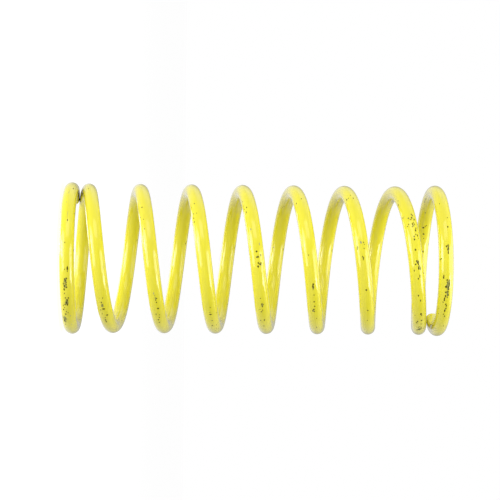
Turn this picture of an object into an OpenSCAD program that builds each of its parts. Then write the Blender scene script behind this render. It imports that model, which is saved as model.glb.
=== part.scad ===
// Compression spring of a pressure regulator, wound right-handed from round wire.
// Both ends are closed and not ground: each cut tip lies against the coil next to it.
// The spring stands on its lower end coil, with its axis along +Z through the origin.
// Lengths are in millimetres and angles in degrees.

/* [Wire] */
// Diameter of the round wire
wire_d = 4; // [2:0.1:6]
// Radius of the worn edge round each cut tip of the wire
tip_edge = 0.4; // [0.1:0.05:0.8]

/* [Coil] */
// Outside diameter over the open coils
coil_od = 41.8; // [32:0.1:60]
// Length without load, over both end coils
free_length = 107.4; // [80:0.1:160]
// Turns of wire from tip to tip
total_turns = 8.666; // [6:0.001:11]
// Direction of the lower tip, turning from +X towards +Y
tip_direction = 148; // [0:1:359]

/* [Ends] */
// Outside diameter over the closed end coils, which are wound a little wider
end_od = 42.4; // [32:0.1:62]
// Slight rise left in each end coil, per turn
end_lead = 1.7; // [0:0.1:2]
// Angle over which an end coil opens out to the full pitch
ramp_angle = 170; // [90:5:200]
// Space between each tip and the coil that it lies against
tip_gap = 0.05; // [0.05:0.05:0.5]

/* [Hidden] */

// Flat faces round the wire, rings in each turn, and rings round a tip's edge
wire_sides = 16;
turn_rings = 36;
edge_rings = 3;

wire_r = wire_d / 2;
coil_r = coil_od / 2 - wire_r;
end_r = end_od / 2 - wire_r;
total_angle = 360 * total_turns;
step_angle = 360 / turn_rings;

// Rise of the wire over the first turn from a tip, which lays the tip against the next coil
closed_rise = wire_d + tip_gap;
// Rise per turn of the open coils: two turns close the ends, and the rest share what is left
pitch = (free_length - wire_d - 2 * closed_rise) / (total_turns - 2);
// Angle from a tip at which its end coil starts to open out
flat_angle = 360 * (1 - (closed_rise - end_lead) / (pitch - end_lead)) - ramp_angle / 2;
// Angle of wire that a tip's worn edge takes up
edge_angle = tip_edge / end_r * 180 / PI;

// How far the ramp has gone, from 0 to 1, at an angle from the nearer tip
function ramp_share(from_tip) = max(0, min(1, (from_tip - flat_angle) / ramp_angle));

// A value that eases from the end coil's to the open coils' along the ramp
function eased(from_tip, at_end, at_open) =
    let (t = ramp_share(from_tip))
    at_end + (at_open - at_end) * t * t * (3 - 2 * t);

// Rise per turn, and radius of the wire's centre line, at an angle from the nearer tip
function rise_rate(from_tip) = eased(from_tip, end_lead, pitch);
function centre_radius(from_tip) = eased(from_tip, end_r, coil_r);

// Rise since the nearer tip, which is the sum of the rise rates on the way
function rise(from_tip) =
    let (t = ramp_share(from_tip))
    let (opened = ramp_angle * t * t * t * (1 - t / 2) + max(0, from_tip - flat_angle - ramp_angle))
    (end_lead * from_tip + (pitch - end_lead) * opened) / 360;

// Height of the wire's centre at an angle along the wire from the lower tip
function centre_height(along) =
    along < total_angle / 2
        ? wire_r + rise(along)
        : free_length - wire_r - rise(total_angle - along);

// One ring of points round the wire, square to its run
function wire_ring(along, radius) =
    let (direction = tip_direction + along)
    let (outward = [cos(direction), sin(direction), 0])
    let (round_coil = [-sin(direction), cos(direction), 0])
    let (from_tip = min(along, total_angle - along))
    let (run_r = centre_radius(from_tip))
    let (climb = atan2(rise_rate(from_tip), 2 * PI * run_r))
    let (across = [0, 0, cos(climb)] - sin(climb) * round_coil)
    let (centre = run_r * outward + [0, 0, centre_height(along)])
    [for (side = [0 : wire_sides - 1])
        let (turn = 360 * side / wire_sides)
        centre + radius * (cos(turn) * outward + sin(turn) * across)];

// Angle from the cut face and wire radius at each ring of a tip's worn edge, from the face inwards
edge_profile = [for (k = [0 : edge_rings - 1])
    let (bend = 90 * k / edge_rings)
    [edge_angle * (1 - cos(bend)), wire_r - tip_edge * (1 - sin(bend))]];

// Angle along the wire and wire radius at every ring, from the lower tip to the upper
body_rings = ceil((total_angle - 2 * edge_angle) / step_angle);
stations = concat(
    edge_profile,
    [for (k = [0 : body_rings])
        [edge_angle + (total_angle - 2 * edge_angle) * k / body_rings, wire_r]],
    [for (k = [edge_rings - 1 : -1 : 0])
        [total_angle - edge_profile[k][0], edge_profile[k][1]]]);

// A tube through rings of equal count, closed by a flat face on the first and last ring
module tube(rings) {
    sides = len(rings[0]);
    last = len(rings) - 1;
    walls = [for (i = [0 : last - 1], j = [0 : sides - 1])
        let (a = i * sides + j, b = i * sides + (j + 1) % sides)
        each [[a, b, b + sides], [a, b + sides, a + sides]]];
    first_face = [for (j = [sides - 1 : -1 : 0]) j];
    last_face = [for (j = [0 : sides - 1]) last * sides + j];
    polyhedron([for (ring = rings) each ring], concat(walls, [first_face, last_face]), convexity = 10);
}

module spring() {
    color("gold") tube([for (station = stations) wire_ring(station[0], station[1])]);
}

spring();
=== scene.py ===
"""A worn yellow regulator spring on a white studio floor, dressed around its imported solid."""

import math
import random

import bpy
import numpy as np
from bpy.props import FloatProperty, FloatVectorProperty, IntProperty, PointerProperty
from mathutils import Matrix, Vector
from mathutils.bvhtree import BVHTree


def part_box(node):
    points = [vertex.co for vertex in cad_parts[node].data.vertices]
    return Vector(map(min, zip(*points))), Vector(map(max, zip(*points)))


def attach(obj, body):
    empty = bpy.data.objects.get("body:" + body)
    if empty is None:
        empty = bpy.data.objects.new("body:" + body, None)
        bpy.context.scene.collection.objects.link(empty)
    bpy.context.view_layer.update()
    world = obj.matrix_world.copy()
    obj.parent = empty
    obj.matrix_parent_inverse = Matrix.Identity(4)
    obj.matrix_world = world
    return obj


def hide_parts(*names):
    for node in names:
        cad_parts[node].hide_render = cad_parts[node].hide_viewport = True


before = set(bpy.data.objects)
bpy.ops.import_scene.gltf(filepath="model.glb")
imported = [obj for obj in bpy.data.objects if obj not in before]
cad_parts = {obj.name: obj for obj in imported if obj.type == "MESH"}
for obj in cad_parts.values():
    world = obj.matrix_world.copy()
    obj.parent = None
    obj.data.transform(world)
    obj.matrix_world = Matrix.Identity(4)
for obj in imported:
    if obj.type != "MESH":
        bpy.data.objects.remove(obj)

bl_info = {
    "name": "Regulator Spring",
    "version": (1, 0, 0),
    "blender": (4, 5, 0),
    "location": "View3D > Sidebar > Spring",
    "description": "Winds, chips and paints a compression spring and lights it in a white studio",
    "category": "Add Mesh",
}

NODE = "spring"
BODY = "root"
TURN = 2 * math.pi
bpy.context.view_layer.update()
LOW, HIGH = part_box(NODE)
# The wire is drawn this much inside the solid's box
INSET = 0.000015
END_OD = 2 * (min(HIGH[0], -LOW[0], -LOW[1]) - INSET)
OPEN_OD = 0.0418 - 2 * INSET
SOLID_LENGTH = HIGH[2] - LOW[2]

# The picture is square, and pixel places are counted from its top left corner
PICTURE_SIDE = 500
SENSOR = 36.0

# Mesh of the wire: rings in each turn, sides of each ring, rings round a worn tip edge
TURN_RINGS = 300
WIRE_SIDES = 36
EDGE_RINGS = 7

# The lower tip is bent up from this angle before it
LIFT_START = math.radians(4)

# The wire is laid out for its texture in rows, one for each turn, this share of a row apart
ROW_GAP = 0.12
ROW_INSET = 0.012

# How far the painted shade and dirt reach from where a tip lies against the next coil
SHADE_AND_GRIME_REACH = 0.0006
# Share of it at the upper tip
UPPER_SHADE_AND_GRIME = 0.35

# Places in a spot are counted in its own half length and half width, and end at this many of them
SPOT_REACH = 2.2
FAR_FROM_SPOT = 9.0
# A chip longer than this is a ragged cluster, and a smaller one is a single fleck
CLUSTER_LENGTH = 0.0011
FLECK_RAGGED, CLUSTER_RAGGED = 0.3, 1.0
# Kinds of wear, as the paint's material tells them apart
SCUFFED, RUBBED = 0.0, 1.0

# Clusters of chips on the sides that the picture doesn't show: seed, the most chips in one, how far they
# spread along the wire, the shortest chip and how much longer one can get
OTHER_SIDES_SEED = 7
CLUSTER_CHIPS = 10
CLUSTER_SPREAD = (0.0004, 0.004)
SHORTEST_CHIP, CHIP_GROWTH = 0.0003, 0.0009
# Chances of a bare chip, a scuff and a rubbed spot in a cluster
WEAR_CHANCES = (80, 12, 8)

# Chips in the paint, by coil from the lower end, as seen in the picture.
# Each has its place in pixels, then its length along the wire and its width across it, in pixels.
BARE_CHIPS = {
    "first coil": [
        (73.4, 188.6, 2.4, 1.4), (74.4, 213.6, 2, 1), (67.4, 220, 2, 1), (64.8, 242.5, 1.2, 1),
        (73.5, 250.3, 2.4, 1), (67.3, 268.4, 3.8, 1.6), (67.3, 271.2, 1.8, 1), (64.5, 269.5, 1.4, 1),
        (66.4, 278.5, 1.8, 1.6), (64.3, 279, 2, 1.2), (65.3, 280.6, 2, 1.2), (66.3, 282.4, 1.6, 1.2),
        (63.2, 283.5, 2, 1), (64.9, 283.4, 2, 1.2), (66, 284.7, 1.6, 1.4), (64.3, 286, 2.6, 1.6),
        (66.4, 287.3, 1.8, 1.8), (64.1, 289.4, 2.6, 1.6), (64.5, 293.4, 1.2, 1), (68.3, 298.2, 2.4, 1.3),
        (65.4, 298, 1.6, 1.1), (67.2, 300.2, 2.8, 1.4), (66.6, 302.6, 2.8, 1.6), (67.4, 304.6, 2.4, 1.4),
        (65, 304.6, 1.8, 1.3), (63.5, 305.4, 1.4, 1.2), (64.5, 307.5, 1.4, 1), (63.7, 309.6, 2, 1.5),
        (66.4, 311.7, 1.6, 1.2), (65.8, 314.2, 2, 1.6), (67.9, 312.6, 1.4, 1.2), (64.5, 320.3, 3, 1.6),
        (65.6, 324.3, 1.8, 1.3),
    ],
    "second coil": [
        (88.3, 188.8, 2.4, 1.4), (102.5, 298.1, 1.2, 1), (101.5, 302.5, 1.6, 1.2), (103.7, 309, 1.8, 3.2),
        (100.6, 310, 1.2, 1), (102.5, 313.9, 1.4, 1), (107, 315, 2, 2), (105.5, 320, 2, 1.6),
        (106.2, 321.6, 2.2, 1.4), (105.2, 317.7, 1.2, 1),
    ],
    "third coil": [
        (142, 207.3, 1.5, 1.4), (140.7, 217.2, 1.4, 1), (143.4, 219.3, 1.2, 1), (144.3, 228.9, 1.2, 1),
        (156.6, 298.4, 1.4, 1.1), (155.7, 300.1, 1.5, 1), (156.4, 302.4, 1.5, 1.3), (158.1, 308.5, 2.2, 2),
        (156.1, 314.2, 1.4, 1.2), (159.5, 314.8, 1.4, 1), (159.5, 317.4, 1.5, 1.5),
        (158.4, 319.7, 1.8, 1.8), (159.5, 322.3, 1.5, 1.4),
    ],
    "fourth coil": [
        (194.3, 203.5, 1.3, 1.1), (191.4, 207.5, 1.1, 1), (196.6, 213.1, 1.2, 1), (193.6, 213.9, 1.3, 1),
        (193.7, 218.3, 1.5, 1.2), (194.1, 222.1, 1.8, 1.5), (210.1, 307.6, 1.1, 1),
        (209.9, 312.4, 1.3, 1.1), (210.6, 314.4, 1.6, 3), (216.6, 312.5, 1.3, 1), (212.1, 320.5, 1.2, 1.2),
        (212.4, 325.5, 1.6, 1.6), (216.6, 324.8, 1.4, 1.2), (216.4, 328.1, 1.4, 1.2),
        (218.2, 328.8, 1.2, 1.2), (215.9, 330.4, 1.2, 1.2),
    ],
    "fifth coil": [
        (246.6, 207.4, 1.5, 1.4), (244.4, 209.4, 1, 1), (246.5, 212.2, 1.8, 1), (242.6, 201.7, 1.2, 1),
        (256.7, 251.4, 2, 2), (257.9, 256.8, 1.8, 2.2), (256.6, 257.2, 1.4, 1.2), (258.4, 263, 1.8, 1.5),
        (260, 264.2, 2.2, 2), (261, 262.7, 1.4, 1.2), (258.2, 266.5, 2, 2), (260.4, 298.4, 1.2, 1),
        (261.5, 304.2, 1.3, 1.1), (263.5, 304.5, 1.2, 1), (262.4, 306.5, 1.8, 1.1),
        (259.9, 309.4, 1.2, 1.2), (262.6, 310.2, 1.4, 1.2), (261.5, 311.7, 1.4, 1.8),
        (264.4, 320, 2.4, 1.5), (260.6, 320.4, 1.1, 1.4), (264.1, 326, 1.4, 1.2),
    ],
    "sixth coil": [
        (296.3, 203.5, 2, 1.1), (301.4, 198.7, 1.8, 0.9), (308.5, 255.1, 1.2, 1), (313.2, 284.5, 2.2, 1.7),
        (312.6, 286.5, 2, 1.2), (313.6, 287.2, 2, 1.3), (314.1, 295, 1.3, 1.1), (314.1, 301.8, 1.7, 1.5),
        (314.7, 306.4, 1.5, 1.4), (313.8, 309.4, 1.6, 2.2), (312.6, 310.6, 1.4, 1), (314.4, 311.5, 1.4, 1),
        (316.7, 318.3, 1.5, 1.4), (316.6, 327.3, 1.5, 1.4),
    ],
    "seventh coil": [
        (350.5, 195.3, 1.4, 1.3), (348.5, 198.2, 1.2, 1), (346.7, 199.8, 2.4, 1.6), (353.2, 198.1, 2.4, 1),
        (363.6, 242.4, 1.3, 1.1), (364.5, 244.3, 1, 0.9), (364.1, 248.4, 1, 1.2), (363.3, 257.9, 2.4, 1.2),
        (362.6, 256.5, 1.2, 0.9), (363.5, 259.4, 1.4, 0.9), (366.3, 290.1, 1.7, 1.9),
        (367.9, 310.5, 1.5, 1.3), (367.5, 320.4, 1.3, 1.2),
    ],
    "eighth coil": [
        (398.1, 200.8, 1.4, 1), (398.4, 205.1, 2.8, 1.2), (402.8, 218, 1.8, 1.4), (411.4, 214.6, 2, 1.3),
        (412.4, 215.6, 2, 1.3), (411.6, 217.7, 2.4, 1.6), (408.4, 218.2, 1.4, 1.4), (410.5, 219.6, 1, 1.8),
        (414.2, 219.6, 2, 1.7), (408.7, 224.4, 1.3, 1.1), (407.5, 226.5, 1.2, 1), (413.4, 222.9, 1.3, 1.6),
        (412.5, 224, 2.4, 1.2), (412.2, 226.2, 2, 1), (414.6, 224.4, 1.6, 1.4), (415.9, 228.6, 2.2, 1.2),
        (415.6, 230.3, 2.2, 1.5), (415.9, 234.3, 1.6, 1.3), (417.5, 235.6, 2.2, 1.4),
        (418.3, 238.1, 1.4, 1), (414.3, 236.4, 1.5, 1.2), (414.5, 239.4, 1.8, 1.5), (415.5, 249.8, 2, 1.6),
        (416.6, 261, 1.9, 1.5), (418.5, 261.4, 1.8, 1.2), (417.8, 263, 2, 1.4), (418.4, 264.2, 2, 1.2),
        (415.6, 264.4, 1.5, 1.6), (418.6, 268.1, 3.4, 1.4), (419.8, 276.3, 2.8, 1.2),
        (418.4, 278.7, 1.8, 1.3), (414.2, 270.7, 2, 1), (418.4, 295.7, 1.8, 1.3), (420.6, 300.6, 2, 1),
        (421, 314, 2.6, 1.8), (414.9, 315.3, 1.4, 1.2), (421.6, 315.3, 1.7, 1), (421.6, 320.4, 2, 1.8),
        (417.5, 321.5, 2.2, 1.8), (416.6, 322.7, 2.2, 1.5), (421.3, 324, 1.5, 1.3),
        (418.2, 327.3, 1.5, 1.6), (419.6, 326.9, 1.5, 1.8), (421, 327.3, 1.8, 1.5),
        (421.5, 328.3, 1.8, 1.4), (420.5, 329.1, 1.8, 1.8), (419.2, 329.9, 2, 2.2), (417, 330.1, 1.6, 1.6),
        (423.7, 328, 1.4, 1.4),
    ],
    "backs of the open coils": [
        # The first seven are dark lines at the same place on each open coil's back: painted reflection of the
        # front strand beside it, drawn as bare chips
        (137.2, 240.2, 2.4, 1.2), (186.7, 241.4, 2.6, 1.4), (185.6, 243.6, 2.2, 1),
        (235.2, 245.8, 2.6, 1.5), (234.4, 248, 2, 1), (283.4, 249.4, 2.6, 1.4), (332, 250.6, 2.4, 1.2),
        (385, 229, 1.6, 1.2), (282.4, 207.2, 0.8, 2), (284, 206.4, 0.8, 2),
    ],
    "back of the last coil": [
        (425.3, 212.9, 1.6, 1.4), (423.4, 227.7, 2.2, 2.1), (425.3, 226.4, 1.5, 1.6),
        (426.4, 225.5, 1.3, 1.6), (423.4, 234, 2.1, 2.5), (423.6, 238.4, 1.4, 1.2), (423, 251.5, 2.6, 1.4),
        (423.3, 273.2, 1.4, 1),
    ],
    "last coil": [
        (439.5, 203.8, 1.4, 1), (447.5, 217.6, 1.4, 1), (447.7, 226.8, 1.8, 1.4), (446.5, 246.3, 1.9, 1.6),
        (448.1, 245.4, 1.7, 1.4), (448.6, 247.6, 2.8, 1.1), (447.9, 249.8, 2.6, 1.5),
        (448.3, 252.6, 3.2, 1.3), (440.4, 259.4, 1.8, 1.3), (441.4, 258.6, 1.6, 1.2),
        (443.9, 275.9, 2.4, 1.2), (443.7, 277.6, 2.8, 1.6), (447.1, 280.1, 2.1, 1.8),
        (449.4, 280.4, 2.4, 1), (447.1, 282.5, 1.4, 1.2), (449.3, 284.6, 4, 1.2), (446.1, 286.8, 2.4, 1.9),
        (448.4, 287.3, 2, 1.4), (448.8, 289.2, 2, 1.4), (445.8, 292.4, 1.8, 1.4), (448.2, 291.7, 1.7, 1.6),
        (448.3, 295, 1.8, 1.4), (445.5, 296, 2.8, 1.3), (444.6, 298.4, 2.4, 1.4), (444.4, 300, 2.6, 1.5),
        (447.3, 297.5, 1.3, 1.1), (443.2, 301.9, 2.4, 1), (445.7, 304.3, 2, 1.5), (446.4, 305.8, 2.4, 1.6),
        (446, 308.4, 2.2, 1.2), (444.7, 311, 3.4, 1.4), (443.4, 314.3, 1.5, 1.3), (444.4, 316.2, 1.8, 1.5),
        (438.5, 313.6, 1.2, 1), (443.5, 326, 1.8, 1.3),
    ],
}
# Patches that are rubbed down to the steel, in the same way
RUBBED_PATCHES = {
    "first coil": [(65, 281.2, 7, 3.6), (65, 285.8, 7, 3.6), (66.8, 302.2, 8, 3.6), (64.8, 319.2, 11, 5)],
    "second coil": [(102.4, 305.6, 5, 2.6)],
    "third coil": [(154.7, 296, 3, 1.3), (155.1, 298, 3, 1.5)],
    "fifth coil": [(260.5, 264.6, 3.4, 2.4), (260.7, 255, 3, 1.6), (262.4, 305.4, 5, 2.4)],
    "sixth coil": [(313.3, 287.2, 5, 2.2), (313.5, 311, 2.4, 2)],
    "seventh coil": [(357.6, 246.9, 2.6, 1.5), (357.6, 248.6, 2.6, 1.5)],
    "eighth coil": [
        (413.2, 225, 4, 1.8), (417.6, 261.7, 3.4, 3), (419.2, 266, 3, 1.4), (420.2, 268.1, 3.4, 1.8),
        (419.4, 329.3, 5, 4.2),
    ],
    "last coil": [
        (448.4, 248.4, 5, 1.6), (448.2, 284.8, 10, 4), (447.6, 293.4, 5, 3), (445.2, 309.6, 4, 1.6),
    ],
}
# Scuffs that only grey the paint, in the same way
SCUFFS = {
    "first coil": [
        (67.5, 217, 13, 1), (69, 192, 5, 1), (70.5, 315.9, 1.4, 1), (70.5, 318.9, 1.4, 1),
        (73.3, 321, 1.6, 1.2), (71.6, 324.1, 1.6, 1.2), (66.4, 202, 1.6, 1), (65, 204.4, 1.6, 1.2),
    ],
    "second coil": [
        (88, 221, 2, 1.6), (103, 268.4, 4.4, 1.6), (107, 285.5, 5, 1.2), (118.4, 322, 6, 3),
        (90.4, 189.6, 2.2, 1.2), (89.5, 186.3, 2, 1.2), (87.4, 209.6, 1, 1), (87.2, 211.6, 1, 1),
        (88.4, 213, 1, 1),
    ],
    "third coil": [(153.6, 293.6, 3, 1), (170, 322.3, 3.4, 1.2)],
    "fourth coil": [(222.2, 321, 5, 3)],
    "fifth coil": [(259.7, 244.1, 3, 2), (250.8, 229.3, 2, 1), (273.6, 320.6, 8, 1.6)],
    "seventh coil": [(361, 242.3, 2.8, 1.6)],
    "eighth coil": [(413, 261.7, 4, 2), (404.3, 216.7, 1.6, 1)],
    "backs of the open coils": [(224.6, 260.2, 1.4, 2), (273.4, 247.3, 1.8, 1.3)],
    "back of the last coil": [(425.4, 200, 17, 1.6)],
    "last coil": [(442.1, 197.7, 4, 1)],
}


class SpringSizes(bpy.types.PropertyGroup):
    """Sizes of the wound wire, as its solid has them."""

    wire_d: FloatProperty(
        name="Wire diameter", description="Diameter of the round wire", default=0.004, unit="LENGTH")
    coil_od: FloatProperty(
        name="Coil diameter", description="Outside diameter over the open coils", default=OPEN_OD,
        unit="LENGTH")
    end_od: FloatProperty(
        name="End diameter", description="Outside diameter over the end coils", default=END_OD,
        unit="LENGTH")
    free_length: FloatProperty(
        name="Free length", description="Length without load", default=SOLID_LENGTH, unit="LENGTH")
    total_turns: FloatProperty(
        name="Turns", description="Turns of wire from tip to tip", default=8.666, min=3)
    tip_direction: FloatProperty(
        name="Lower tip", description="Direction of the lower tip", default=math.radians(148),
        subtype="ANGLE")
    end_lead: FloatProperty(
        name="End lead", description="Rise left in each end coil, per turn", default=0.0017, unit="LENGTH")
    ramp_angle: FloatProperty(
        name="Ramp", description="Angle over which an end coil opens out", default=math.radians(170),
        subtype="ANGLE")
    tip_gap: FloatProperty(
        name="Tip gap", description="Space between a tip and the next coil", default=0.00005, unit="LENGTH")
    tip_edge: FloatProperty(
        name="Tip edge", description="Radius of the worn edge of a cut tip", default=0.0004, unit="LENGTH")
    tip_lift: FloatProperty(
        name="Tip lift", description="How far the wire behind the lower tip is bent up along the next coil",
        default=0.0005, unit="LENGTH")
    lift_angle: FloatProperty(
        name="Lift angle", description="Angle from the lower tip at which it is bent up most",
        default=math.radians(38), subtype="ANGLE")


class SpringFinish(bpy.types.PropertyGroup):
    """Paint and wear of the spring, with the painted shade where coils meet."""

    paint: FloatVectorProperty(
        name="Paint", description="Colour of the fresh paint", subtype="COLOR", default=(0.67, 0.61, 0.022))
    dull_paint: FloatVectorProperty(
        name="Dull paint", description="Colour of the paint where it is handled", subtype="COLOR",
        default=(0.61, 0.54, 0.035))
    dark_steel: FloatVectorProperty(
        name="Dark steel", description="Colour of the tarnished steel in a chip", subtype="COLOR",
        default=(0.095, 0.078, 0.01))
    rubbed_steel: FloatVectorProperty(
        name="Rubbed steel", description="Colour of steel that is rubbed bare", subtype="COLOR",
        default=(0.19, 0.20, 0.06))
    scuff: FloatVectorProperty(
        name="Scuff", description="Colour of scuffed paint", subtype="COLOR", default=(0.20, 0.20, 0.17))
    # Dark yellow that is painted shade where two coils meet, with some dirt in it
    grime_and_shade: FloatVectorProperty(
        name="Grime", description="Colour of the dirt where two coils meet", subtype="COLOR",
        default=(0.04, 0.034, 0.004))
    gloss: FloatProperty(
        name="Roughness", description="Roughness of the fresh paint", default=0.12, min=0, max=1,
        subtype="FACTOR")
    coat: FloatProperty(
        name="Lacquer", description="Weight of the clear gloss over the paint", default=1.0, min=0, max=1,
        subtype="FACTOR")
    hidden_chips: IntProperty(
        name="Other chips", description="Clusters of chips drawn for the sides away from the camera",
        default=150, min=0)


class SpringStudio(bpy.types.PropertyGroup):
    """Camera, floor and light of the studio."""

    lens: FloatProperty(name="Lens", description="Focal length", default=117.5, unit="CAMERA")
    distance: FloatProperty(
        name="Distance", description="From the camera to the spring's middle", default=0.4581, unit="LENGTH")
    turn: FloatProperty(
        name="Turn", description="Turn of the camera about the spring", default=math.radians(1.427),
        subtype="ANGLE")
    tip: FloatProperty(
        name="Tip", description="How far the camera looks up along the spring", default=math.radians(2.238),
        subtype="ANGLE")
    roll: FloatProperty(
        name="Roll", description="Roll past a quarter turn", default=math.radians(0.464), subtype="ANGLE")
    right: FloatProperty(
        name="Right", description="How far right of the picture's middle the spring's middle lies",
        default=0.0012, unit="LENGTH")
    down: FloatProperty(
        name="Down", description="How far below the picture's middle the spring's middle lies",
        default=0.00264, unit="LENGTH")
    floor: FloatVectorProperty(
        name="Floor", description="Colour of the floor", subtype="COLOR", default=(0.2, 0.2, 0.2))
    floor_glow: FloatProperty(
        name="Floor glow", description="Light from under the floor, which keeps it white", default=0.86,
        min=0)
    front: FloatProperty(
        name="Front", description="Brightness of the room behind the camera", default=0.46, min=0)
    back: FloatProperty(
        name="Back", description="Brightness of the room behind the spring", default=0.46, min=0)
    overhead: FloatProperty(name="Overhead", description="Brightness overhead", default=0.61, min=0)
    below: FloatProperty(name="Below", description="Brightness below the floor", default=0.8, min=0)
    top_side: FloatProperty(
        name="Top side", description="Brightness of the room at the picture's top", default=0.93, min=0)
    bottom_side: FloatProperty(
        name="Bottom side", description="Brightness of the room at the picture's bottom", default=0.31, min=0)


# Softboxes round the spring as the camera sees it: azimuth to the right of the camera and elevation towards
# the picture's top, then width and height, all in degrees, and the brightness with the backdrop as 1
SOFTBOXES = {
    "left_softbox": (-78, 8, 24, 14, 7.0),
    "left_fill": (-60, 8, 36, 42, 3.8),
    "left_back": (-114, 8, 48, 14, 3.3),
    "right_softbox": (66, -20, 24, 14, 7.5),
    "right_fill": (60, 1, 36, 28, 3.1),
    "right_back": (96, -6, 48, 42, 2.2),
    "top_softbox": (8, 47, 48, 28, 1.6),
}
SOFTBOX_DISTANCE = 0.45


class Coil:
    """The wound wire's run, worked out from its sizes. Angles run along the wire from the lower tip."""

    def __init__(self, sizes):
        closed_rise = sizes.wire_d + sizes.tip_gap
        self.wire_r = sizes.wire_d / 2
        self.coil_r = sizes.coil_od / 2 - self.wire_r
        self.end_r = sizes.end_od / 2 - self.wire_r
        self.length = sizes.free_length
        self.start = sizes.tip_direction
        self.total = TURN * sizes.total_turns
        self.lead = sizes.end_lead
        self.ramp = sizes.ramp_angle
        self.pitch = (sizes.free_length - sizes.wire_d - 2 * closed_rise) / (sizes.total_turns - 2)
        self.flat = TURN * (1 - (closed_rise - self.lead) / (self.pitch - self.lead)) - self.ramp / 2
        self.tip_edge = sizes.tip_edge
        self.lift = sizes.tip_lift
        self.lift_angle = sizes.lift_angle

    def ramp_share(self, from_tip):
        """How far the ramp has gone, from 0 to 1."""
        return np.clip((from_tip - self.flat) / self.ramp, 0, 1)

    def eased(self, from_tip, at_end, at_open):
        """A value that eases from the end coil's to the open coils' along the ramp."""
        t = self.ramp_share(from_tip)
        return at_end + (at_open - at_end) * t * t * (3 - 2 * t)

    def rise(self, from_tip):
        """Rise since the nearer tip."""
        t = self.ramp_share(from_tip)
        opened = self.ramp * t ** 3 * (1 - t / 2) + np.clip(from_tip - self.flat - self.ramp, 0, None)
        return (self.lead * from_tip + (self.pitch - self.lead) * opened) / TURN

    def run(self, along):
        """Centre of the wire, the direction out from the axis and the one across both, at each angle."""
        from_tip = np.minimum(along, self.total - along)
        risen = self.wire_r + self.rise(from_tip)
        radius = self.eased(from_tip, self.end_r, self.coil_r)
        bent = (along + LIFT_START) / (self.lift_angle + LIFT_START)
        bump = self.lift * np.exp((1 - bent ** 2) / 2)
        lift = bump * bent
        lift_rate = bump * (1 - bent ** 2) / (self.lift_angle + LIFT_START)
        climb = np.arctan2(self.eased(from_tip, self.lead, self.pitch) + TURN * lift_rate, TURN * radius)
        direction = self.start + along
        cos, sin, level = np.cos(direction), np.sin(direction), np.zeros_like(direction)
        outward = np.stack([cos, sin, level], 1)
        across = np.stack([sin * np.sin(climb), -cos * np.sin(climb), np.cos(climb)], 1)
        centre = radius[:, None] * outward
        centre[:, 2] = np.where(along < self.total / 2, risen, self.length - risen) + lift
        return centre, outward, across

    def stations(self):
        """Angle along the wire and wire radius at every ring, with a worn edge at both tips."""
        bend = np.linspace(0, math.pi / 2, EDGE_RINGS)
        edge_angle = self.tip_edge / self.end_r
        edge = edge_angle * (1 - np.cos(bend))
        edge_r = self.wire_r - self.tip_edge * (1 - np.sin(bend))
        count = round(TURN_RINGS * self.total / TURN)
        body = np.linspace(edge_angle, self.total - edge_angle, count)[1:-1]
        along = np.concatenate([edge, body, self.total - edge[::-1]])
        radius = np.concatenate([edge_r, np.full(len(body), self.wire_r), edge_r[::-1]])
        return along, radius


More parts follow.
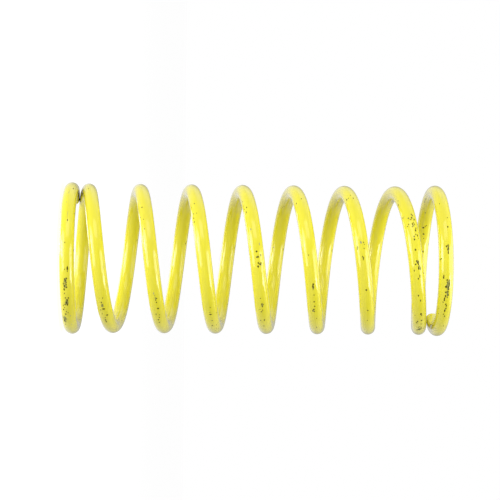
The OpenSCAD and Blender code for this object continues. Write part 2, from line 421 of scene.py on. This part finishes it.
class WireMesh:
    """The wire's mesh: rings of sides, with the seam on the inside of the coil."""

    def __init__(self, coil):
        self.coil = coil
        self.along, self.radius = coil.stations()
        self.around = np.linspace(-math.pi, math.pi, WIRE_SIDES, endpoint=False)
        self.rings = len(self.along)
        centre, outward, across = coil.run(self.along)
        cos, sin = np.cos(self.around)[None, :, None], np.sin(self.around)[None, :, None]
        self.normals = cos * outward[:, None, :] + sin * across[:, None, :]
        self.points = centre[:, None, :] + self.radius[:, None, None] * self.normals

    def faces(self):
        """Four-sided faces of the wall, ring by ring, then a face on each tip."""
        ring, side = np.meshgrid(np.arange(self.rings - 1), np.arange(WIRE_SIDES), indexing="ij")
        a = (ring * WIRE_SIDES + side).ravel()
        b = (ring * WIRE_SIDES + (side + 1) % WIRE_SIDES).ravel()
        walls = np.stack([a, a + WIRE_SIDES, b + WIRE_SIDES, b], 1).tolist()
        last = (self.rings - 1) * WIRE_SIDES
        first_tip = list(range(WIRE_SIDES))
        last_tip = [last + side for side in reversed(range(WIRE_SIDES))]
        return walls + [first_tip, last_tip]

    def corner_places(self):
        """Angle along the wire and angle around it at the four corners of every wall face."""
        ring, side = np.meshgrid(np.arange(self.rings - 1), np.arange(WIRE_SIDES), indexing="ij")
        ring, side = ring.ravel(), side.ravel()
        step = TURN / WIRE_SIDES
        here, there = self.along[ring], self.along[ring + 1]
        low, high = self.around[side], self.around[side] + step
        return np.stack([here, there, there, here], 1), np.stack([low, low, high, high], 1)

    def build(self, name):
        """Makes the mesh, with its texture layout and the place of each point on the straightened wire."""
        mesh = bpy.data.meshes.new(name)
        mesh.from_pydata(self.points.reshape(-1, 3).tolist(), [], self.faces())
        mesh.shade_smooth()
        self.lay_out(mesh)
        straight = np.empty((self.rings, WIRE_SIDES, 3))
        straight[..., 0] = self.along[:, None] * self.coil.coil_r
        straight[..., 1] = self.radius[:, None] * np.cos(self.around)
        straight[..., 2] = self.radius[:, None] * np.sin(self.around)
        place = mesh.attributes.new("straight_place", "FLOAT_VECTOR", "POINT")
        place.data.foreach_set("vector", straight.ravel())
        close = mesh.attributes.new("closeness", "FLOAT", "POINT")
        close.data.foreach_set("value", self.closeness().ravel())
        return mesh

    def closeness(self):
        """1 where a point touches the next coil, less at the upper tip, falling over the reach of the painted
        shade and dirt.
        """
        height = self.coil.run(self.along)[0][:, 2]
        wire_r, no_coil = self.coil.wire_r, self.coil.length
        nearest = np.full((self.rings, WIRE_SIDES), no_coil)
        for side in (1, -1):
            there = self.along + side * TURN
            on_wire = (there >= 0) & (there <= self.coil.total)
            apart = np.where(on_wire, np.abs(self.coil.run(there)[0][:, 2] - height), no_coil)[:, None]
            towards = 2 * apart * wire_r * side * np.sin(self.around)
            nearest = np.minimum(nearest, np.sqrt(apart ** 2 + wire_r ** 2 - towards) - wire_r)
        # Painted shade with some dirt: full at the lower tip, less at the upper
        dirt_and_shade = np.where(self.along < self.coil.total / 2, 1, UPPER_SHADE_AND_GRIME)[:, None]
        return dirt_and_shade * np.exp(-np.clip(nearest, 0, None) / SHADE_AND_GRIME_REACH)

    def lay_out(self, mesh):
        """Unrolls the wire into a row of texture for each turn, with the two tips beside the last row."""
        along, around = self.corner_places()
        rows = math.ceil(self.coil.total / TURN)
        row = np.floor(along.mean(axis=1) / TURN)[:, None]
        u = ROW_INSET + (1 - 2 * ROW_INSET) * (along / TURN - row)
        v = (row + ROW_GAP / 2 + (1 - ROW_GAP) * (around / TURN + 0.5)) / rows
        tip_size = (1 - ROW_GAP) / rows / 2
        discs = []
        for place, turn in ((0.75, 1), (0.9, -1)):
            spot = turn * self.around
            level = (rows - 0.5) / rows
            discs.append(np.stack([place + tip_size * np.cos(spot), level + tip_size * np.sin(spot)], 1))
        layer = mesh.uv_layers.new(name="OFBake")
        layer.data.foreach_set("uv", np.concatenate([np.stack([u, v], 2).reshape(-1, 2), *discs]).ravel())


class Field:
    """A shader socket that takes part in Python arithmetic: each operation adds the node that does it."""

    def __init__(self, tree, socket=None):
        self.tree = tree
        self.socket = socket

    def node(self, kind, output=0, inputs=(), **settings):
        """Adds a node of this kind: its settings first, then the values or links of its sockets."""
        made = self.tree.nodes.new(kind)
        for name, value in settings.items():
            setattr(made, name, value)
        for name, value in dict(inputs).items():
            self.feed(made.inputs[name], value)
        return Field(self.tree, made.outputs[output])

    def feed(self, socket, value):
        """Links a field to a socket, or sets a plain value there."""
        if isinstance(value, Field):
            self.tree.links.new(value.socket, socket)
        else:
            socket.default_value = value

    def maths(self, operation, first, second):
        return self.node("ShaderNodeMath", inputs={0: first, 1: second}, operation=operation)

    def __add__(self, other):
        return self.maths("ADD", self, other)

    def __radd__(self, other):
        return self.maths("ADD", other, self)

    def __sub__(self, other):
        return self.maths("SUBTRACT", self, other)

    def __rsub__(self, other):
        return self.maths("SUBTRACT", other, self)

    def __mul__(self, other):
        return self.maths("MULTIPLY", self, other)

    def __rmul__(self, other):
        return self.maths("MULTIPLY", other, self)

    def step(self, low, high):
        """0 below low, 1 above high, and smooth between."""
        limits = {"Value": self, "From Min": low, "From Max": high}
        return self.node("ShaderNodeMapRange", "Result", limits, interpolation_type="SMOOTHSTEP")

    def mix(self, first, second):
        """A colour that goes from the first to the second as this field goes from 0 to 1."""
        return self.node("ShaderNodeMix", 2, {0: self, 6: first, 7: second}, data_type="RGBA")

    def stretch(self, scale):
        """This place with each axis scaled."""
        return self.node("ShaderNodeVectorMath", inputs={0: self, 1: scale}, operation="MULTIPLY")

    def noise(self, scale, detail=2.0, roughness=0.5):
        """Noise at this place, from 0 to 1, with a grain of about 1 over scale."""
        inputs = {"Vector": self, "Scale": scale, "Detail": detail, "Roughness": roughness}
        return self.node("ShaderNodeTexNoise", "Fac", inputs)


def opaque(colour):
    """A colour property as a shader socket takes it."""
    return (*colour, 1.0)


def camera_axes(studio):
    """The picture's right, up and towards-the-camera directions. The spring's axis runs to the right."""
    axis = Vector((0, 0, 1))
    up = Vector((-math.cos(studio.turn), math.sin(studio.turn), 0))
    towards = Vector((-math.sin(studio.turn), -math.cos(studio.turn), 0))
    right = axis * math.cos(studio.tip) + towards * math.sin(studio.tip)
    towards = towards * math.cos(studio.tip) - axis * math.sin(studio.tip)
    rolled_right = right * math.cos(studio.roll) + up * math.sin(studio.roll)
    rolled_up = up * math.cos(studio.roll) - right * math.sin(studio.roll)
    return rolled_right, rolled_up, towards


def placed(axes, place):
    """A matrix with these axes at this place."""
    matrix = Matrix(axes).transposed().to_4x4()
    matrix.translation = place
    return matrix


def spring_middle():
    return (Vector(LOW) + Vector(HIGH)) / 2


def make_camera(studio):
    right, up, towards = camera_axes(studio)
    camera = bpy.data.objects.new("camera", bpy.data.cameras.new("camera"))
    camera.data.lens = studio.lens
    camera.data.sensor_width = SENSOR
    camera.data.clip_start = 0.01
    place = spring_middle() + towards * studio.distance - right * studio.right + up * studio.down
    camera.matrix_world = placed((right, up, towards), place)
    bpy.context.scene.collection.objects.link(camera)
    bpy.context.scene.camera = camera
    return camera


def make_softbox(name, studio, azimuth, elevation, width, height, brightness):
    """A rectangular light that faces the spring from a direction in the picture."""
    right, up, towards = camera_axes(studio)
    az, el = math.radians(azimuth), math.radians(elevation)
    out = (right * math.sin(az) + towards * math.cos(az)) * math.cos(el) + up * math.sin(el)
    level = right * math.cos(az) - towards * math.sin(az)
    light = bpy.data.lights.new(name, "AREA")
    light.shape = "RECTANGLE"
    light.size = 2 * SOFTBOX_DISTANCE * math.tan(math.radians(width / 2))
    light.size_y = 2 * SOFTBOX_DISTANCE * math.tan(math.radians(height / 2))
    light.energy = brightness * math.pi * light.size * light.size_y
    softbox = bpy.data.objects.new(name, light)
    softbox.matrix_world = placed((level, out.cross(level), out), spring_middle() + out * SOFTBOX_DISTANCE)
    softbox.visible_camera = False
    bpy.context.scene.collection.objects.link(softbox)


def make_world(studio):
    """A white room, with its own brightness on each side of the spring, and a plain white backdrop."""
    world = bpy.data.worlds.new("white_room")
    world.use_nodes = True
    tree = world.node_tree
    field = Field(tree)
    direction = field.node("ShaderNodeTexCoord", "Generated")
    across, depth, height = (
        field.node("ShaderNodeSeparateXYZ", axis, {"Vector": direction}) for axis in "XYZ")
    room = studio.back * depth.step(-0.3, 0.5) * (1 - height.step(0.5, 0.8))
    room = room + studio.overhead * height.step(0.5, 0.9)
    room = room + studio.front * (1 - depth.step(-0.9, -0.3))
    room = room + studio.top_side * (1 - across.step(-0.9, -0.3))
    room = room + studio.bottom_side * across.step(0.3, 0.9)
    above = height.step(-0.15, 0.05)
    room = room * above + studio.below * (1 - above)
    seen = field.node("ShaderNodeLightPath", "Is Camera Ray")
    background = tree.nodes["Background"]
    background.inputs["Color"].default_value = (1, 1, 1, 1)
    field.feed(background.inputs["Strength"], room + seen * (1 - room))
    bpy.context.scene.world = world


def make_floor(studio):
    side = 40.0
    mesh = bpy.data.meshes.new("floor")
    corners = [(-side, -side, 0), (side, -side, 0), (side, side, 0), (-side, side, 0)]
    mesh.from_pydata(corners, [], [(0, 1, 2, 3)])
    floor = bpy.data.objects.new("floor", mesh)
    material = bpy.data.materials.new("floor")
    material.use_nodes = True
    shader = material.node_tree.nodes["Principled BSDF"]
    shader.inputs["Base Color"].default_value = opaque(studio.floor)
    shader.inputs["Roughness"].default_value = 0.9
    shader.inputs["Specular IOR Level"].default_value = 0.0
    shader.inputs["Emission Color"].default_value = (1, 1, 1, 1)
    shader.inputs["Emission Strength"].default_value = studio.floor_glow
    mesh.materials.append(material)
    # The room's light also comes from below, as over a light table, so only the camera sees the floor
    floor.visible_diffuse = floor.visible_glossy = floor.visible_shadow = False
    bpy.context.scene.collection.objects.link(floor)


def pixel_ray(camera, u, v):
    """Start and direction of the ray through a pixel place of the picture."""
    reach = SENSOR / camera.data.lens / PICTURE_SIDE
    half = PICTURE_SIDE / 2
    direction = Vector(((u - half) * reach, (half - v) * reach, -1))
    return camera.matrix_world.translation, (camera.matrix_world.to_3x3() @ direction).normalized()


class SpotLayer:
    """Worn spots: each face keeps its nearest spot, as its corners' places in it and the spot's kind."""

    def __init__(self, wire, mesh, name):
        self.wire = wire
        self.mesh = mesh
        self.name = name
        self.along, self.around = wire.corner_places()
        self.middle_along, self.middle_around = self.along.mean(axis=1), self.around.mean(axis=1)
        walls = len(self.along)
        self.nearest = np.full(walls, FAR_FROM_SPOT)
        self.place = np.full((walls, 4, 3), FAR_FROM_SPOT)

    def place_at(self, point, face):
        """Angle along the wire and angle around it at a point of a wall face."""
        coil = self.wire.coil
        turned = math.atan2(point.y, point.x) - coil.start
        along = turned + TURN * round((self.middle_along[face] - turned) / TURN)
        centre, outward, across = (rows[0] for rows in coil.run(np.array([along])))
        arm = np.array(point) - centre
        along += arm @ np.cross(across, outward) / math.hypot(point.x, point.y)
        return along, math.atan2(arm @ across, arm @ outward)

    def add(self, along, around, length, width, kind):
        """Adds a spot, an oval of this length and width, where it is nearer than the spots before it."""
        half_length, half_width = length / 2 / self.wire.coil.coil_r, width / 2 / self.wire.coil.wire_r
        reach = SPOT_REACH * half_length
        near = np.flatnonzero(np.abs(self.middle_along - along) < reach)
        turned = (self.middle_around[near] - around + math.pi) % TURN - math.pi
        far = np.hypot((self.middle_along[near] - along) / half_length, turned / half_width)
        taken = far < np.minimum(self.nearest[near], SPOT_REACH)
        near, turned = near[taken], turned[taken]
        self.nearest[near] = far[taken]
        shift = turned - self.middle_around[near]
        self.place[near, :, 0] = (self.along[near] - along) / half_length
        self.place[near, :, 1] = (self.around[near] + shift[:, None]) / half_width
        self.place[near, :, 2] = kind

    def write(self):
        """Stores the spots on the mesh. The tips' faces have none."""
        corners = np.full((len(self.mesh.loops), 3), FAR_FROM_SPOT)
        corners[: self.place.shape[0] * 4] = self.place.reshape(-1, 3)
        layer = self.mesh.attributes.new(self.name, "FLOAT_VECTOR", "CORNER")
        layer.data.foreach_set("vector", corners.ravel())


def raggedness(length):
    """How ragged a chip of this length is, which is the kind of a chip."""
    return CLUSTER_RAGGED if length > CLUSTER_LENGTH else FLECK_RAGGED


class SPRING_OT_wind_wire(bpy.types.Operator):
    """Wind the wire in place of the solid"""

    bl_idname = "spring.wind_wire"
    bl_label = "Wind wire"

    def execute(self, context):
        wire = WireMesh(Coil(context.scene.spring_sizes))
        spring = bpy.data.objects.new("spring_wire", wire.build("spring_wire"))
        context.scene.collection.objects.link(spring)
        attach(spring, BODY)
        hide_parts(NODE)
        return {"FINISHED"}


class SPRING_OT_set_stage(bpy.types.Operator):
    """Set the camera, the floor and the light"""

    bl_idname = "spring.set_stage"
    bl_label = "Set stage"

    def execute(self, context):
        studio = context.scene.spring_studio
        make_camera(studio)
        make_floor(studio)
        make_world(studio)
        for name, numbers in SOFTBOXES.items():
            make_softbox(name, studio, *numbers)
        context.scene.view_settings.view_transform = "Standard"
        return {"FINISHED"}


class SPRING_OT_chip_paint(bpy.types.Operator):
    """Chip the paint where the picture shows it, and likewise on the other sides"""

    bl_idname = "spring.chip_paint"
    bl_label = "Chip paint"

    def execute(self, context):
        spring = bpy.data.objects["spring_wire"]
        wire = WireMesh(Coil(context.scene.spring_sizes))
        chips, wear = SpotLayer(wire, spring.data, "chips"), SpotLayer(wire, spring.data, "wear")
        camera = context.scene.camera
        tree = BVHTree.FromObject(spring, context.evaluated_depsgraph_get())
        studio = context.scene.spring_studio
        pixel = studio.distance * SENSOR / studio.lens / PICTURE_SIDE
        missed = []
        groups = ((chips, BARE_CHIPS, None), (wear, SCUFFS, SCUFFED), (wear, RUBBED_PATCHES, RUBBED))
        for layer, group, kind in groups:
            for u, v, length, width in (spot for spots in group.values() for spot in spots):
                point, _, face, _ = tree.ray_cast(*pixel_ray(camera, u, v))
                if face is None or face >= len(layer.along):
                    missed.append((u, v))
                    continue
                length, width = length * pixel, width * pixel
                spot_kind = raggedness(length) if kind is None else kind
                layer.add(*layer.place_at(point, face), length, width, spot_kind)
        if missed:
            raise RuntimeError(f"these chips miss the wire: {missed}")
        self.chip_other_sides(chips, wear, camera, context.scene.spring_finish.hidden_chips)
        chips.write()
        wear.write()
        return {"FINISHED"}

    def chip_other_sides(self, chips, wear, camera, count):
        """Scatters clusters of chips where the camera doesn't look, most of them on the coil's outside."""
        draw = random.Random(OTHER_SIDES_SEED)
        coil = chips.wire.coil
        eye = camera.matrix_world.translation
        for _ in range(count):
            middle, side = draw.uniform(0.05, coil.total - 0.05), draw.gauss(0, 0.7)
            spread = draw.uniform(*CLUSTER_SPREAD) / coil.coil_r
            for _ in range(draw.randint(1, CLUSTER_CHIPS)):
                along = min(max(draw.gauss(middle, spread), 0.03), coil.total - 0.03)
                around = draw.gauss(side, 0.2)
                centre, outward, across = coil.run(np.array([along]))
                normal = Vector(math.cos(around) * outward[0] + math.sin(around) * across[0])
                length = SHORTEST_CHIP + CHIP_GROWTH * draw.random() ** 2
                width = length * draw.uniform(0.45, 0.9)
                kinds = ((chips, raggedness(length)), (wear, SCUFFED), (wear, RUBBED))
                layer, kind = draw.choices(kinds, WEAR_CHANCES)[0]
                if normal.dot(eye - Vector(centre[0])) < 0:
                    layer.add(along, around, length, width, kind)


class SPRING_OT_paint_wire(bpy.types.Operator):
    """Paint the wire in chipped yellow"""

    bl_idname = "spring.paint_wire"
    bl_label = "Paint wire"

    def execute(self, context):
        bpy.data.objects["spring_wire"].data.materials.append(paint_material(context.scene.spring_finish))
        return {"FINISHED"}


def worn_spots(field, layer):
    """The nearest spot of a layer: depth in it, from 0.5 in its middle to 0 at its edge, and its kind."""
    spot = field.node("ShaderNodeAttribute", "Vector", attribute_name=layer)
    far = field.node("ShaderNodeVectorMath", "Value", {0: spot.stretch((1, 1, 0))}, operation="LENGTH")
    return 0.5 * (1 - far * far), field.node("ShaderNodeSeparateXYZ", "Z", {"Vector": spot})


def paint_material(finish):
    """Gloss yellow paint with dull patches, scratches, scuffs, chips to the steel, slight orange peel, and
    painted shade with some dirt where the coils meet.
    """
    material = bpy.data.materials.new("chipped_yellow_paint")
    material.use_nodes = True
    tree = material.node_tree
    shader = tree.nodes["Principled BSDF"]
    field = Field(tree)
    place = field.node("ShaderNodeAttribute", "Vector", attribute_name="straight_place")
    closeness = field.node("ShaderNodeAttribute", "Fac", attribute_name="closeness")

    grain = place.stretch((0.55, 1, 1)).noise(1800)
    lines = place.stretch((0.1, 1, 1)).noise(2400, 3.0)
    chip, ragged = worn_spots(field, "chips")
    bare = (chip + 3 * ragged * (grain - 0.5)).step(0.0, 0.12)
    patch, kind = worn_spots(field, "wear")
    patch = (patch + 1.5 * (grain - 0.5)).step(0.0, 0.3)
    rubbed = patch * kind
    scuffed = patch * (1 - kind) * lines.step(0.38, 0.6)

    dull = place.stretch((0.35, 1, 1)).noise(90, 3.0, 0.55).step(0.45, 0.72)
    scratched = lines.step(0.62, 0.72) * place.noise(260).step(0.5, 0.65)
    # Painted shade, with some dirt, where the coils meet: the paint turns dark yellow and loses its gloss
    # there
    grime_and_shade = closeness.step(0.2, 0.85)
    paint = (dull * 0.5).mix(opaque(finish.paint), opaque(finish.dull_paint))
    paint = (scratched * 0.12).mix(paint, opaque(finish.scuff))
    paint = (scuffed * 0.8).mix(paint, opaque(finish.scuff))
    paint = (grime_and_shade * 0.95).mix(paint, opaque(finish.grime_and_shade))
    steel = (grain.step(0.56, 0.66) * ragged).mix(opaque(finish.dark_steel), opaque(finish.rubbed_steel))
    paint = (rubbed * 0.9).mix(paint, opaque(finish.rubbed_steel))
    field.feed(shader.inputs["Base Color"], bare.mix(paint, steel))
    # Wear and the painted shade where coils meet both roughen the paint
    worn = bare + rubbed + scuffed + grime_and_shade
    field.feed(shader.inputs["Roughness"], finish.gloss + dull * 0.04 + scratched * 0.05 + worn * 0.3)
    field.feed(shader.inputs["Metallic"], bare * 0.4 + rubbed * 0.1)

    peel = place.noise(700, 2.0, 0.5)
    height = peel * 0.04 + (1 - bare)
    bump = field.node("ShaderNodeBump", "Normal", {"Strength": 0.35, "Distance": 0.00008, "Height": height})
    field.feed(shader.inputs["Normal"], bump)
    kept_gloss = (1 - bare) * (1 - rubbed * 0.8) * (1 - scuffed * 0.6) * (1 - grime_and_shade * 0.9)
    field.feed(shader.inputs["Coat Weight"], kept_gloss * finish.coat)
    shader.inputs["IOR"].default_value = 1.5
    shader.inputs["Specular IOR Level"].default_value = 0.1
    shader.inputs["Coat IOR"].default_value = 1.5
    shader.inputs["Coat Roughness"].default_value = finish.gloss
    return material


class SPRING_PT_sidebar(bpy.types.Panel):
    """Sizes, finish and studio of the spring"""

    bl_idname = "SPRING_PT_sidebar"
    bl_label = "Regulator Spring"
    bl_space_type = "VIEW_3D"
    bl_region_type = "UI"
    bl_category = "Spring"

    def draw(self, context):
        for group in ("spring_sizes", "spring_finish", "spring_studio"):
            box = self.layout.box()
            settings = getattr(context.scene, group)
            for name in settings.bl_rna.properties.keys():
                if name not in ("rna_type", "name"):
                    box.prop(settings, name)
        for operator in OPERATORS:
            self.layout.operator(operator.bl_idname)


GROUPS = (SpringSizes, SpringFinish, SpringStudio)
OPERATORS = (SPRING_OT_wind_wire, SPRING_OT_set_stage, SPRING_OT_chip_paint, SPRING_OT_paint_wire)


def register():
    for cls in (*GROUPS, *OPERATORS, SPRING_PT_sidebar):
        bpy.utils.register_class(cls)
    bpy.types.Scene.spring_sizes = PointerProperty(type=SpringSizes)
    bpy.types.Scene.spring_finish = PointerProperty(type=SpringFinish)
    bpy.types.Scene.spring_studio = PointerProperty(type=SpringStudio)


def unregister():
    for name in ("spring_sizes", "spring_finish", "spring_studio"):
        delattr(bpy.types.Scene, name)
    for cls in reversed((*GROUPS, *OPERATORS, SPRING_PT_sidebar)):
        bpy.utils.unregister_class(cls)


def main():
    register()
    bpy.ops.spring.wind_wire()
    bpy.ops.spring.set_stage()
    bpy.ops.spring.chip_paint()
    bpy.ops.spring.paint_wire()


if __name__ == "__main__":
    main()
